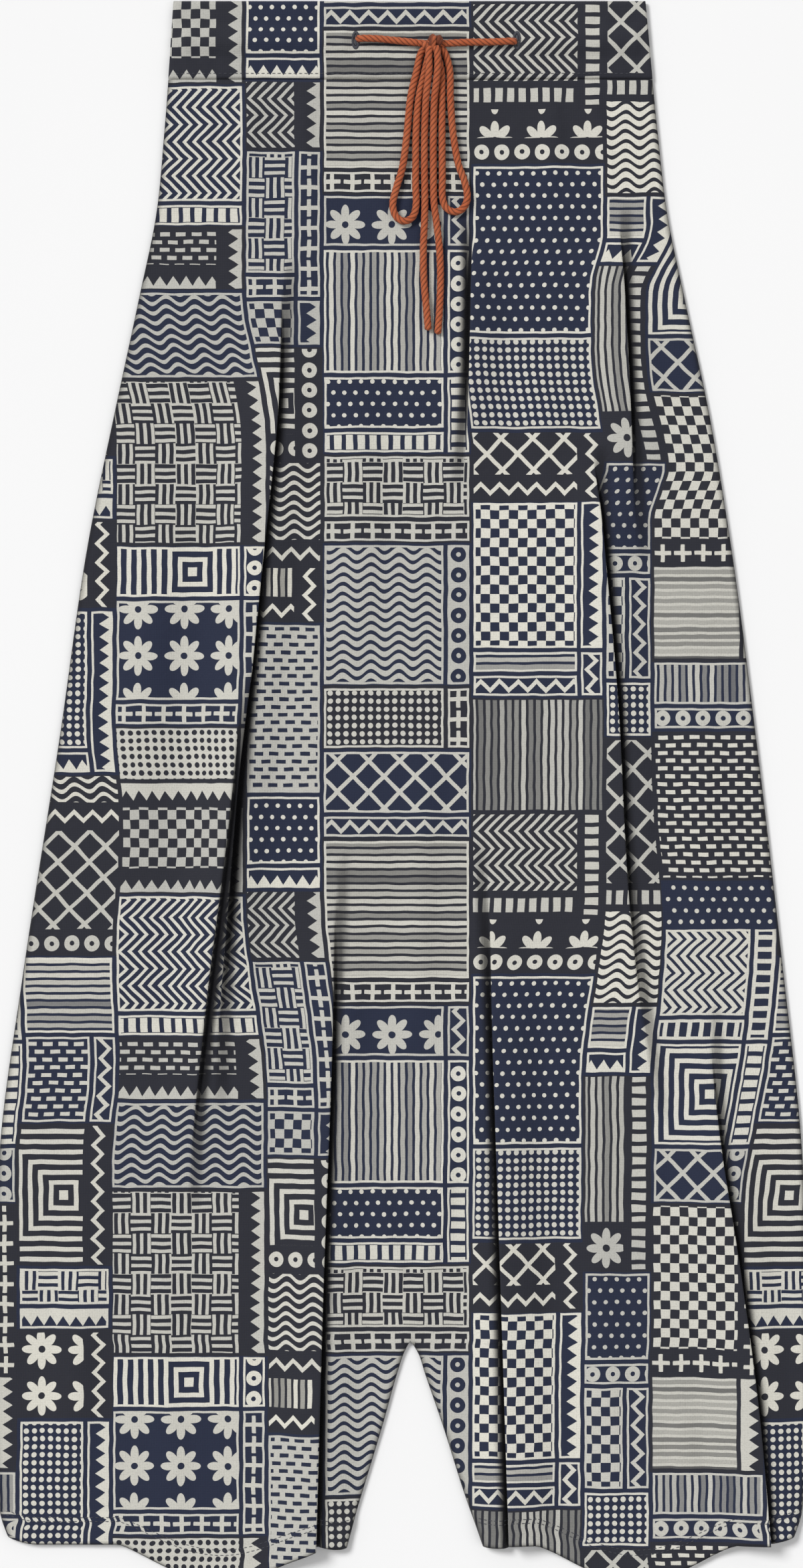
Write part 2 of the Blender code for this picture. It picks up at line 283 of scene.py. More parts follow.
def tucked(route):
    """The route, whose ends at the knot run on under it and draw together there."""
    points = list(route)
    for end, at in ((0, 0), (-1, len(points) + 1)):
        x, down, lift = points[end]
        if KNOT_DOWN + 0.002 < down < KNOT_DOWN + 0.010:
            points.insert(at, ((x + KNOT_X) / 2, down - TUCKED_IN, lift))
    return points


def smooth_line(points, spacing):
    """A Catmull-Rom curve through points, read at an even spacing."""
    points = np.array(points, float)
    ends = 2 * points[[0, -1]] - points[[1, -2]]
    held = np.vstack([ends[:1], points, ends[1:]])
    line = []
    for a, b, c, d in zip(held, held[1:], held[2:], held[3:]):
        for t in np.arange(16) / 16:
            line.append(
                0.5 * (2 * b + (c - a) * t + (2 * a - 5 * b + 4 * c - d) * t**2
                       + (3 * b - a - 3 * c + d) * t**3)
            )
    line = np.array(line + [points[-1]])
    run = np.concatenate([[0.0], np.cumsum(np.linalg.norm(np.diff(line[:, :2], axis=0), axis=1))])
    at = np.linspace(0, run[-1], max(int(round(run[-1] / spacing)), 2) + 1)
    return np.stack([np.interp(at, run, line[:, k]) for k in range(line.shape[1])], axis=1)


def tree_of(node):
    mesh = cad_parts[node].data
    return BVHTree.FromPolygons([v.co for v in mesh.vertices], [p.vertices for p in mesh.polygons])


UNDER_CORD = [tree_of("front_panel"), tree_of("waist_casing_front")]


def highest_near(x, down, reach):
    """The highest point of the cloth within reach of a place, felt from above."""
    highest = 0.0
    for dx in (-reach, 0.0, reach):
        for dy in (-reach, 0.0, reach):
            above = Vector((x + dx, WAIST_Y - down + dy, ABOVE_ALL))
            for cloth in UNDER_CORD:
                hit = cloth.ray_cast(above, Vector((0, 0, -1)))[0]
                if hit:
                    highest = max(highest, hit.z)
    return highest


def laid(route, spacing=0.0011):
    """The centres of a cord that lies on the cloth along a route."""
    line = smooth_line(route, spacing)
    felt = np.array([highest_near(x, down, CORD / 2) for x, down, lift in line])
    run = np.concatenate([[0.0], np.cumsum(np.linalg.norm(np.diff(line[:, :2], axis=0), axis=1))])
    base = np.array([felt[np.abs(run - at) <= LAY_REACH].max() for at in run])
    soft = np.array([base[np.abs(run - at) <= LAY_REACH / 2].mean() for at in run])
    return np.stack([line[:, 0], WAIST_Y - line[:, 1], soft + GAP + CORD / 2 + line[:, 2]], axis=1)


centres = {name: laid(tucked(route)) for name, route in ROUTES.items()}
print("cord lengths:", {n: round(float(np.linalg.norm(np.diff(c, axis=0), axis=1).sum()), 4)
                        for n, c in centres.items()})

# %% [markdown]
# ### Twisting the plies
#
# A frame is carried along the path without turning round it, so the tube doesn't twist by
# accident. The plies then wind round that frame at a steady pitch. The two ends close to a
# point over a short dome, so the tube is watertight.

# %% Tubes of twisted yarn
PLIES = 4
PLY_PITCH = 0.0150  # one full turn of the plies
PLY_DEPTH = 0.15  # how deep the grooves between them are, as a share of the radius
TUBE_SIDES = 20
TIP = 0.0016  # the length over which an end closes


def frames_along(path):
    """A tangent and two cross directions at each point, carried along without twisting."""
    tangents = np.gradient(path, axis=0)
    tangents /= np.linalg.norm(tangents, axis=1)[:, None]
    across = np.cross(tangents[0], (0.0, 0.0, 1.0))
    if np.linalg.norm(across) < 1e-3:
        across = np.cross(tangents[0], (0.0, 1.0, 0.0))
    frames = []
    for tangent in tangents:
        across = across - tangent * np.dot(across, tangent)
        across /= np.linalg.norm(across)
        frames.append((tangent, across, np.cross(tangent, across)))
    return frames


def yarn_tube(bm, uv, path, thickness=CORD, start=0.0):
    """Adds a closed tube of twisted plies along a path to a bmesh."""
    rings = len(path) - 1
    run = np.concatenate([[0.0], np.cumsum(np.linalg.norm(np.diff(path, axis=0), axis=1))])
    frames = frames_along(path)
    made = bmesh.ops.create_grid(bm, x_segments=TUBE_SIDES, y_segments=rings, size=1.0)["verts"]
    place = {}
    for vert in made:
        turn = (vert.co.x + 1) / 2
        ring = round((vert.co.y + 1) / 2 * rings)
        place[vert] = (turn, ring)
    faces = {face for vert in made for face in vert.link_faces}
    for face in faces:
        for loop in face.loops:
            turn, ring = place[loop.vert]
            loop[uv].uv = (turn, start + run[ring])
    for vert, (turn, ring) in place.items():
        angle = 2 * math.pi * turn
        ply = abs(math.cos(PLIES / 2 * (angle - 2 * math.pi * (start + run[ring]) / PLY_PITCH)))
        from_end = min(run[ring], run[-1] - run[ring])
        dome = math.sqrt(max(1 - (1 - min(from_end / TIP, 1.0)) ** 2, 0.0))
        radius = thickness / 2 * (1 - PLY_DEPTH * (1 - ply)) * dome
        tangent, across, up = frames[ring]
        vert.co = Vector(path[ring] + radius * (math.cos(angle) * across + math.sin(angle) * up))
    bmesh.ops.remove_doubles(bm, verts=made, dist=1e-6)


def finished(name, bm, finish, nodes=()):
    """Makes a bmesh a piece that rides on the trousers."""
    bmesh.ops.recalc_face_normals(bm, faces=bm.faces)
    mesh = bpy.data.meshes.new(name)
    bm.to_mesh(mesh)
    bm.free()
    mesh.shade_smooth()
    mesh.materials.append(finish.material)
    piece = bpy.data.objects.new(name, mesh)
    bpy.context.scene.collection.objects.link(piece)
    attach(piece, "root")
    if nodes:
        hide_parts(*nodes)
    print(f"{name}: {len(mesh.vertices)} points, {len(mesh.polygons)} faces")
    return piece


# %% [markdown]
# ### Yarn
#
# The cord is rust-coloured cotton. Its colour carries painted shade, dark in the grooves where
# the plies press together and on the tube's flanks, and the plies are pale where they rub. The
# colour and the relief both read the UV map, so they follow every bend.

# %% The yarn's finish
RUST = linear(178, 88, 52)
# the colour of the painted shade in the cord's grooves and on its flanks
RUST_PAINTED_SHADE = linear(66, 32, 24)
RUST_PALE = linear(194, 114, 76)

yarn = Finish("drawcord_yarn", Roughness=0.86, Specular_IOR_Level=0.25, Sheen_Weight=0.08)
turn, length = yarn.surface_uv()
ply_phase = (turn * PLIES - length * (PLIES / PLY_PITCH)).fraction()
groove = 1 - (abs(ply_phase - 0.5) * 2)  # 1 in the middle of the groove
fibre_phase = turn * 3.0 + length * 220.0
fibre = yarn.node(
    "ShaderNodeTexNoise",
    {"noise_dimensions": "3D"},
    {"Vector": yarn.node("ShaderNodeCombineXYZ", None, {0: turn * 6.0, 1: length * 150.0, 2: fibre_phase}),
     "Scale": 3.0, "Detail": 3.0, "Roughness": 0.65},
)
fade = yarn.node(
    "ShaderNodeTexNoise", {"noise_dimensions": "1D"}, {"W": length, "Scale": 55.0, "Detail": 2.0}
)
body = yarn.colour(fade * 0.55, RUST, RUST_PALE)
# painted shade: the colour darkens in the grooves between the plies and on the tube's flanks
painted_shade_depth = groove * groove * groove
painted_flank_shade = (turn.wave(1.0) * 1.3 + 0.8).most(0.0).least(1.0)  # painted shade on the tube's flanks: 0 on top, 1 where strands touch
shade = yarn.colour((painted_shade_depth * 0.85).most(painted_flank_shade * 0.8), body, RUST_PAINTED_SHADE)
fleck = yarn.colour((fibre - 0.5) * 0.9, shade, RUST_PALE)
yarn.feed("Base Color", fleck)
yarn.relief(fibre * 0.00035 - painted_shade_depth * 0.0003)
print("yarn nodes:", len(yarn.tree.nodes))

# %% [markdown]
# ### The knot
#
# The knot is a wrap of cord round the two leads. A lump with a bump map would look like a
# bead. Here two turns of the same twisted tube wind round a short core, and the ends are
# tucked inside, which is what gives a bow its crossed look.

# %% Tie the knot
KNOT_HALF = (0.0040, 0.0035, 0.0030)  # how far the wrap's middle line goes in x, y and z
WRAP_TURNS = 2.0
WRAP_TILT = 0.0011  # the turns lean over towards the loops

knot_floor = highest_near(KNOT_X, KNOT_DOWN, 0.006) + GAP
knot_middle = Vector((KNOT_X, WAIST_Y - KNOT_DOWN, knot_floor + KNOT_HALF[2] + CORD / 2))


def wrap_path():
    """A helix round the x axis that tucks its two ends into the middle."""
    points = []
    for t in np.linspace(0, 1, 64):
        angle = 2 * math.pi * WRAP_TURNS * t + math.pi * 0.6
        tuck = min(1.0, 5 * t, 5 * (1 - t)) ** 0.5
        x = (t - 0.5) * 2 * KNOT_HALF[0]
        y = KNOT_HALF[1] * tuck * math.cos(angle)
        z = KNOT_HALF[2] * tuck * math.sin(angle)
        points.append((x + WRAP_TILT * math.cos(angle), y, z))
    return np.array(points) + np.array(knot_middle)


def core_path():
    """The two leads' cord, running on through the knot."""
    left, right = centres["cord_lead_left"][-1], centres["cord_lead_right"][0]
    sag = np.array([0.0, -0.0006, 0.0006])
    points = [left - (0.002, 0, 0), left, (left + right) / 2 + sag, right, right + (0.002, 0, 0)]
    return smooth_line(points, 0.0011)


bm = bmesh.new()
knot_uv = bm.loops.layers.uv.new("UVMap")
yarn_tube(bm, knot_uv, wrap_path())
yarn_tube(bm, knot_uv, core_path(), start=0.05)
knot = finished("bow_knot_wrap", bm, yarn, ["bow_knot"])

# %% [markdown]
# ### The stretches
#
# A lead starts inside its buttonhole, so it dives below the cloth over its first few
# millimetres. Every other stretch starts under the knot.

# %% Lay the cord
DIVE_DEPTH = 0.0036
DIVE_LENGTH = 0.0044
HOLDS = {
    "cord_lead_left": ("start", "knot"),
    "cord_lead_right": ("end", "knot"),
    "cord_loop_left": (None, "knot"),
    "cord_loop_right": (None, "knot"),
    "cord_tail_left": (None, "bare"),
    "cord_tail_right": (None, "bare"),
}
for name, (dives_at, far_end) in HOLDS.items():
    path = centres[name].copy()
    if dives_at == "end":
        path = path[::-1].copy()
    if dives_at:
        run = np.concatenate([[0.0], np.cumsum(np.linalg.norm(np.diff(path, axis=0), axis=1))])
        path[:, 2] -= DIVE_DEPTH * np.clip(1 - run / DIVE_LENGTH, 0, 1) ** 2
    bm = bmesh.new()
    cord_uv = bm.loops.layers.uv.new("UVMap")
    yarn_tube(bm, cord_uv, path, start=0.013 * len(name))
    piece = finished(f"{name}_yarn", bm, yarn, [name])
    tuple(path[0])
    [tuple(p) for p in path]

# %% [markdown]
# ## The shape of the cloth
#
# The outline and the folds come from the same short tables as the construction's walls. A
# cloth simulation on a garment that already lies flat would only blur its outline, so every
# fold is placed one by one. A fold has a long soft side and a steep side. In the walls the steep
# side is a slope. Here the crest also leans over it and the cloth beside it slides under the
# crest, as a real tuck does, so the fold line is a dark crevice. Painted shade darkens it further.

# %% The outline
CENTRE_X = 0.006
CROTCH, HEM = 0.860, 0.991
CASING_HEIGHT = 0.050
SideRow = namedtuple("SideRow", "down left right")
SIDES = (
    SideRow(0.000, 0.146, 0.157), SideRow(0.085, 0.152, 0.165), SideRow(0.136, 0.157, 0.171),
    SideRow(0.190, 0.168, 0.182), SideRow(0.265, 0.184, 0.198), SideRow(0.343, 0.200, 0.211),
    SideRow(0.472, 0.219, 0.228), SideRow(0.627, 0.243, 0.246), SideRow(0.730, 0.257, 0.257),
    SideRow(0.860, 0.261, 0.261), SideRow(0.955, 0.259, 0.259), SideRow(0.975, 0.257, 0.257),
    SideRow(0.992, 0.252, 0.252),
)
LEG_GAP = (
    SideRow(0.860, 0.000, 0.000), SideRow(0.868, 0.004, 0.005), SideRow(0.880, 0.008, 0.009),
    SideRow(0.912, 0.017, 0.020), SideRow(0.965, 0.033, 0.037), SideRow(0.992, 0.041, 0.047),
)
Dip = namedtuple("Dip", "x half_width depth")
HEM_DIPS = (
    Dip(-0.115, 0.066, 0.024), Dip(-0.040, 0.012, 0.003),
    Dip(0.060, 0.012, 0.002), Dip(0.151, 0.064, 0.024),
)
HEM_BLEND = 0.080
CORNER_RISE, CORNER_RUN = 0.005, 0.020


def smooth_step(t):
    """0 to 1 with soft ends."""
    t = np.clip(t, 0.0, 1.0)
    return t * t * (3 - 2 * t)


def bell(t):
    """1 at t = 0, falling to 0 at t = -1 and 1."""
    return np.cos(math.pi / 2 * np.clip(t, -1, 1)) ** 1.2


def along(rows, column, at):
    """A column of a table read at any places, on a smooth curve through its rows."""
    places = np.array([row[0] for row in rows])
    values = np.array([row[column] for row in rows])
    slopes = np.gradient(values, places)
    i = np.clip(np.searchsorted(places, at) - 1, 0, len(places) - 2)
    step = places[i + 1] - places[i]
    t = np.clip((at - places[i]) / step, 0.0, 1.0)
    return (
        values[i] * (1 + 2 * t) * (1 - t) ** 2
        + values[i + 1] * t * t * (3 - 2 * t)
        + step * slopes[i] * t * (1 - t) ** 2
        - step * slopes[i + 1] * t * t * (1 - t)
    )


def outer_x(level, side):
    return side * along(SIDES, 1 if side < 0 else 2, level)


def inner_x(level, side):
    gap = along(LEG_GAP, 1 if side < 0 else 2, np.maximum(level, CROTCH))
    return CENTRE_X + side * gap


def hem_shift(x, side):
    """How far the hem lies below its plain level at x."""
    dips = sum(dip.depth * bell((x - dip.x) / dip.half_width) for dip in HEM_DIPS)
    to_side = np.abs(outer_x(HEM, side) - x) / CORNER_RUN
    return dips - CORNER_RISE * np.maximum(1 - to_side, 0.0) ** 2


print("waist width:", round(float(outer_x(0.0, 1) - outer_x(0.0, -1)), 4))

# %% The folds
Fold = namedtuple("Fold", "height soft_side soft steep fade_top fade_bottom line")
FOLDS = (
    Fold(0.010, -1, 0.034, 0.007, 0.12, 0.18,
         ((0.165, -0.075), (0.267, -0.080), (0.364, -0.090), (0.467, -0.100), (0.710, -0.120))),
    Fold(0.006, -1, 0.022, 0.006, 0.09, 0.12,
         ((0.430, -0.104), (0.515, -0.112), (0.645, -0.126), (0.775, -0.137))),
    Fold(0.006, 1, 0.024, 0.006, 0.05, 0.09,
         ((0.137, 0.046), (0.261, 0.043), (0.312, 0.040))),
    Fold(0.007, -1, 0.028, 0.006, 0.06, 0.12,
         ((0.132, 0.140), (0.246, 0.146), (0.360, 0.152))),
    Fold(0.009, -1, 0.034, 0.007, 0.05, 0.26,
         ((0.285, 0.123), (0.337, 0.128), (0.436, 0.137), (0.577, 0.146), (0.720, 0.164))),
    Fold(0.009, -1, 0.032, 0.007, 0.16, 0.00,
         ((0.545, -0.041), (0.678, -0.045), (0.810, -0.050), (1.020, -0.056))),
    Fold(0.009, 1, 0.032, 0.007, 0.16, 0.00,
         ((0.540, 0.055), (0.740, 0.062), (0.862, 0.066), (1.020, 0.071))),
    Fold(0.010, -1, 0.034, 0.007, 0.14, 0.00,
         ((0.645, 0.197), (0.749, 0.206), (0.808, 0.215), (0.897, 0.227), (1.020, 0.238))),
)
LEAN = 0.0042  # how far a crest leans over its steep side
TUCK = 0.0042  # how far the cloth beside it slides under it
LEAN_REACH, TUCK_REACH = 0.016, 0.014
SHOULDER = 0.44  # the cloth beside a crevice stands this share of the fold's height
SHOULDER_AT, SHOULDER_NEAR, SHOULDER_FAR = 0.0037, 0.0035, 0.020
CREVICE_AT, CREVICE_WIDTH = 0.0014, 0.0040  # where and how wide the line of painted shade down in a fold lies, beside its foot


def fold_strength(fold, down):
    """0 to 1 down a fold's length."""
    start, end = fold.line[0][0], fold.line[-1][0]
    grown = smooth_step((down - start) / fold.fade_top)
    if fold.fade_bottom:
        grown = grown * smooth_step((end - down) / fold.fade_bottom)
    return grown


def hump(distance, near, far):
    """1 at distance 0, falling over near where distance is negative, and far where positive."""
    return smooth_step(1 - np.abs(distance) / np.where(distance < 0, near, far))


def fold_form(x, down):
    """(how far the folds raise the cloth, how far they move it sideways)."""
    rise, slide = np.zeros_like(x), np.zeros_like(x)
    for fold in FOLDS:
        strength = fold_strength(fold, down)
        onto = (x - along(fold.line, 1, down)) * fold.soft_side
        crest, base = onto - fold.steep / 2, onto + fold.steep / 2
        rise += fold.height * strength * hump(crest, fold.steep, fold.soft)
        rise += fold.height * SHOULDER * strength * hump(-base - SHOULDER_AT, SHOULDER_NEAR, SHOULDER_FAR)
        scale = np.sqrt(strength) * fold.height / 0.010
        lean = LEAN * scale * hump(crest, fold.steep * 0.8, LEAN_REACH)
        tuck = TUCK * scale * hump(-base, fold.steep * 0.8, TUCK_REACH)
        slide += fold.soft_side * (tuck - lean)
    return rise, slide


print(len(FOLDS), "folds")

# %% [markdown]
# ### Softer creases
#
# Between the folds the cloth isn't flat. Short soft ridges run down from the casing, down the
# legs and into the crotch, each placed one by one, and a slow uneven swell lies under them. They
# die away under the bow, where the cord holds the cloth down.

# %% Creases and swell
Crease = namedtuple("Crease", "height half_width line")
CREASES = (
    Crease(0.0018, 0.010, ((0.050, -0.060), (0.085, -0.063), (0.135, -0.057))),
    Crease(0.0015, 0.008, ((0.050, -0.093), (0.090, -0.098), (0.125, -0.104))),
    Crease(0.0012, 0.007, ((0.050, -0.120), (0.072, -0.123), (0.098, -0.125))),
    Crease(0.0018, 0.009, ((0.050, 0.093), (0.085, 0.098), (0.128, 0.095))),
    Crease(0.0013, 0.007, ((0.050, 0.122), (0.078, 0.127), (0.105, 0.133))),
    Crease(0.0026, 0.018, ((0.200, -0.034), (0.300, -0.026), (0.430, -0.030))),
    Crease(0.0022, 0.016, ((0.215, 0.088), (0.330, 0.092), (0.430, 0.084))),
    Crease(0.0028, 0.020, ((0.300, -0.150), (0.430, -0.162), (0.560, -0.172))),
    Crease(0.0020, 0.013, ((0.470, 0.018), (0.580, 0.012), (0.690, 0.010))),
    Crease(0.0024, 0.018, ((0.440, 0.186), (0.530, 0.196), (0.640, 0.190))),
    Crease(0.0020, 0.009, ((0.730, -0.020), (0.800, -0.006), (0.858, 0.005))),
    Crease(0.0020, 0.009, ((0.720, 0.036), (0.795, 0.020), (0.858, 0.007))),
    Crease(0.0024, 0.017, ((0.760, -0.205), (0.860, -0.208), (0.975, -0.214))),
    Crease(0.0020, 0.014, ((0.790, -0.155), (0.880, -0.152), (0.990, -0.140))),
    Crease(0.0020, 0.015, ((0.760, 0.122), (0.870, 0.130), (0.985, 0.136))),
    Crease(0.0016, 0.011, ((0.880, 0.176), (0.930, 0.182), (0.995, 0.184))),
)
SWELL = 0.0016
CALM_X, CALM_DOWN = (-0.024, 0.056), 0.235  # the cloth under the bow


def crease_form(creases, x, down):
    total = np.zeros_like(x)
    for crease in creases:
        start, end = crease.line[0][0], crease.line[-1][0]
        place = np.clip((down - start) / (end - start), 0, 1)
        inside = (down > start) & (down < end)
        strength = np.sin(math.pi * place) ** 0.7 * inside
        total += crease.height * strength * bell((x - along(crease.line, 1, down)) / crease.half_width)
    return total


def slow_swell(x, down, seed):
    """An uneven swell from 0 to 1, longer down the cloth than across it."""
    flat = [
        0.5 + 0.5 * noise.noise(Vector((a / 0.062, b / 0.150, seed)))
        + 0.25 * noise.noise(Vector((a / 0.024, b / 0.060, seed + 9.0)))
        for a, b in zip(np.ravel(x), np.ravel(down))
    ]
    return np.clip(np.array(flat), 0, 1.3).reshape(np.shape(x))


def calm(x, down):
    """0 under the bow, 1 away from it."""
    left, right = CALM_X
    away = np.maximum.reduce([(left - x) / 0.02, (x - right) / 0.02, (down - CALM_DOWN) / 0.04])
    return smooth_step(away)


print(len(CREASES), "creases")

# %% [markdown]
# ### Edges, seams and hems
#
# Along a side seam or an inseam the front rolls down and the back rolls up until they meet.
# At the casing both edges dip into the seam. The hem is turned up once and once more and
# sewn, so a band along it is thicker, and the sewing draws it into small slanting ridges.

# %% Edges, seams and hems
CLOTH = 0.0009  # the cloth's wall
CASING_WALL = 0.0016
FRONT_TOP = 0.0031  # upper face of the front where it lies flat
CASING_TOP = 0.0039
EDGE_ROLL, EDGE_DROP, EDGE_RISE = 0.0038, 0.00085, 0.00045
SEAM_ROLL, SEAM_DROP = 0.0026, 0.0009
HEM_TURN = 0.020  # height of the turned hem
HEM_PAD = 0.0007
HEM_PAINTED_SHADE_WIDTH, EDGE_PAINTED_SHADE = 0.0024, 0.9  # how wide the painted shade along the hem is, and how dark the painted shade along an edge is
ROPE_PITCH, ROPE_DEPTH = 0.0085, 0.00028


def rolled(distance, reach):
    """0 inside the cloth, 1 at its edge, as a quarter of a circle."""
    near = np.clip(1 - distance / reach, 0, 1)
    return 1 - np.sqrt(np.maximum(1 - near**2, 0))


def edge_roll(x, down, side):
    """How much the nearest side seam or inseam turns the cloth."""
    outer = np.abs(outer_x(down, side) - x)
    roll = rolled(outer, EDGE_ROLL)
    inner = np.abs(x - inner_x(down, side))
    below = smooth_step((down - CROTCH) / 0.004)
    return np.maximum(roll, rolled(inner, EDGE_ROLL) * below)


def hem_band(x, down, hem):
    """The turned hem: a raised band with a soft upper edge and roped ridges."""
    above = hem - down
    band = smooth_step((HEM_TURN - above) / 0.003)
    rope = np.sin(2 * math.pi * (x + 0.6 * above) / ROPE_PITCH) * bell((above - HEM_TURN * 0.8) / 0.010)
    turned = rolled(above, 0.0018)
    return HEM_PAD * band + ROPE_DEPTH * rope * band - 0.0006 * turned


def front_place(x, level, side):
    """The place of the front's upper face, for cloth at x in the row of that level."""
    blend = smooth_step((level - HEM + HEM_BLEND) / HEM_BLEND)
    shift = hem_shift(x, side)
    down = level + shift * blend
    rise, slide = fold_form(x, down)
    z = FRONT_TOP + rise + crease_form(CREASES, x, down)
    z += SWELL * slow_swell(x, down, 3.1) * calm(x, down) * (1 - edge_roll(x, level, side))
    z += hem_band(x, down, HEM + shift)
    z -= EDGE_DROP * edge_roll(x, level, side)
    z -= SEAM_DROP * rolled(down - CASING_HEIGHT, SEAM_ROLL)
    slide = slide * (1 - rolled(np.abs(outer_x(level, side) - x), 0.010))
    return np.stack([x + slide, WAIST_Y - down, z], axis=-1)


def painted_fold_and_edge_shade(x, level, side):
    """0 to 1, how much painted shade darkens the cloth: down in a fold and along a seam or the hem."""
    shift = hem_shift(x, side)
    down = level + shift * smooth_step((level - HEM + HEM_BLEND) / HEM_BLEND)
    edge = np.maximum(edge_roll(x, level, side), rolled(HEM + shift - down, HEM_PAINTED_SHADE_WIDTH))
    shade = EDGE_PAINTED_SHADE * np.sqrt(edge)
    for fold in FOLDS:
        base = (x - along(fold.line, 1, down)) * fold.soft_side + fold.steep / 2
        line = np.exp(-(((base + CREVICE_AT) / CREVICE_WIDTH) ** 4))
        shade = np.maximum(shade, fold_strength(fold, down) ** 0.25 * line)
    return shade


print("hem turn:", HEM_TURN)

# %% [markdown]
# ### Cutting the panels
#
# A panel is one grid for both legs, split between them below the crotch. Its columns crowd
# towards the folds and the edges, where the cloth turns. Its UV map is measured along the
# bent cloth, in metres, so the print stays as even as on the flat cut.

# %% Cut a panel
FRONT_COLUMNS, FRONT_ROWS = 96, (186, 50)
BACK_COLUMNS, BACK_ROWS = 60, (120, 34)
CROWD_WIDTH, CROWDING = 0.010, 4.5
EDGE_CROWD_WIDTH, EDGE_CROWDING = 0.004, 3.0


def spread(density, places, count):
    """count + 1 places that stand closer together where density is high."""
    steps = (density[1:] + density[:-1]) / 2 * np.diff(places)
    total = np.concatenate([[0.0], np.cumsum(steps)])
    return np.interp(np.linspace(0, total[-1], count + 1), total, places)


def columns_of(level, side, count, folds):
    inner, outer = float(inner_x(level, side)), float(outer_x(level, side))
    reach = np.linspace(0, abs(outer - inner), 500)
    xs = inner + side * reach
    density = 1 + EDGE_CROWDING * np.exp(-(((reach[-1] - reach) / EDGE_CROWD_WIDTH) ** 2))
    if level > CROTCH:
        density += EDGE_CROWDING * np.exp(-((reach / EDGE_CROWD_WIDTH) ** 2))
    for fold in folds:
        near = np.exp(-(((xs - along(fold.line, 1, level)) / CROWD_WIDTH) ** 2))
        density += CROWDING * float(fold_strength(fold, level)) * near
    return inner + side * spread(density, reach, count)


def levels_of(rows):
    above, below = rows
    top = np.linspace(CASING_HEIGHT + GAP, CROTCH, 800)
    upper = spread(1 + 2.0 * np.exp(-(((top - top[0]) / 0.008) ** 2)), top, above)
    leg = np.linspace(CROTCH, HEM, 400)
    lower = spread(1 + 1.5 * smooth_step((leg - HEM + 0.030) / 0.006), leg, below)
    return np.concatenate([upper, lower[1:]])


def cut_panel(columns, rows, place_of, shade_of, folds):
    """A bmesh of a panel, with its UV map and its painted shade."""
    above, below = rows
    total = above + below
    levels = levels_of(rows)
    bm = bmesh.new()
    uv = bm.loops.layers.uv.new("UVMap")
    # each point's painted shade, which the print's material reads to darken the cloth
    dark = bm.verts.layers.float.new("painted_shade")
    bmesh.ops.create_grid(bm, x_segments=2 * columns, y_segments=total, size=1.0)

    def row_of(vert):
        return round((1 - vert.co.y) / 2 * total)

    split = [
        edge for edge in bm.edges
        if all(abs(v.co.x) < 0.5 / columns for v in edge.verts)
        and min(row_of(v) for v in edge.verts) >= above
    ]
    bmesh.ops.split_edges(bm, edges=split)
    cloth = {}
    for row, level in enumerate(levels):
        for side in (-1, 1):
            xs = columns_of(level, side, columns, folds)
            places = place_of(xs, level, side)
            steps = np.linalg.norm(np.diff(places[:, [0, 2]], axis=0), axis=1)
            from_centre = np.concatenate([[0.0], np.cumsum(steps)]) + abs(xs[0] - CENTRE_X)
            shades = shade_of(xs, level, side)
            cloth[row, side] = (places, side * from_centre, WAIST_Y - places[:, 1], shades)
    moves = []
    for vert in bm.verts:
        middle = sum(face.calc_center_median().x for face in vert.link_faces)
        side = -1 if middle < -1e-6 else 1
        places, us, downs, shades = cloth[row_of(vert), side]
        column = round(abs(vert.co.x) * columns)
        vert[dark] = shades[column]
        moves.append((vert, Vector(places[column]), (us[column], -downs[column])))
    for vert, place, flat in moves:
        vert.co = place
        for loop in vert.link_loops:
            loop[uv].uv = flat
    return bm


def walled(piece, thickness):
    """Gives an upward-facing cloth its wall, below it."""
    wall = piece.modifiers.new("Wall", "SOLIDIFY")
    wall.thickness = thickness
    wall.offset = -1.0
    return piece


def cloth_area(piece):
    return sum(face.area for face in piece.data.polygons)


# %% [markdown]
# ## The print
#
# The cloth is a patchwork print: blocks of stripes, dots, zigzags and small figures, in cream
# and grey on charcoal and navy, with narrow ornamental strips between them. An image would be
# the usual way. A procedural print is sharp at any distance and tiles for ever, so it is made
# of arithmetic on the UV map. Two stepped ramps cut the cloth into columns and rows. Each
# step's colour holds where its block starts, how wide it is, and a seed. Each figure is then
# worked out once for all blocks, and the seeds say which block shows it.

# %% Layout of the print
REPEAT_ACROSS, REPEAT_DOWN = 0.510, 0.520
RAMP_STEPS = 255
COLUMN_WIDTHS = (43, 22, 37, 30, 50, 25, 48)  # in steps of 2 mm
COLUMN_SEEDS = (0, 5, 2, 9, 7, 4, 11)
ROW_HEIGHTS = ((36, 15, 47, 22, 30, 54, 18, 33), (25, 40, 17, 52, 28, 20, 45, 28))
ROW_SEEDS = ((0, 3, 7, 10, 1, 5, 8, 2), (6, 1, 9, 4, 11, 2, 7, 0))
FIGURES = 12


def block_stops(sizes, seeds):
    """A ramp's stops whose red, green and blue say start, size and seed."""
    stops, start = [], 0
    for size, seed in zip(sizes, seeds):
        position = max((start - 0.5) / RAMP_STEPS, 0.0)
        stops.append((position, (start / RAMP_STEPS, size / RAMP_STEPS, seed / FIGURES, 1.0)))
        start += size
    return stops


def block_ramp(finish, at, sizes, seeds):
    ramp = finish.node("ShaderNodeValToRGB", {"stops": block_stops(sizes, seeds)}, {0: at})
    return finish.node("ShaderNodeSeparateColor", None, {0: ramp}, output=(0, 1, 2))


print("columns sum to", sum(COLUMN_WIDTHS), "rows to", [sum(r) for r in ROW_HEIGHTS])


# %% Figures of the print
def bars(x, pitch, share):
    return (x / pitch).fraction() < share


def spots(x, y, pitch, radius):
    px, py = (x / pitch).fraction() - 0.5, (y / pitch).fraction() - 0.5
    return (px * px + py * py) < (radius / pitch) ** 2


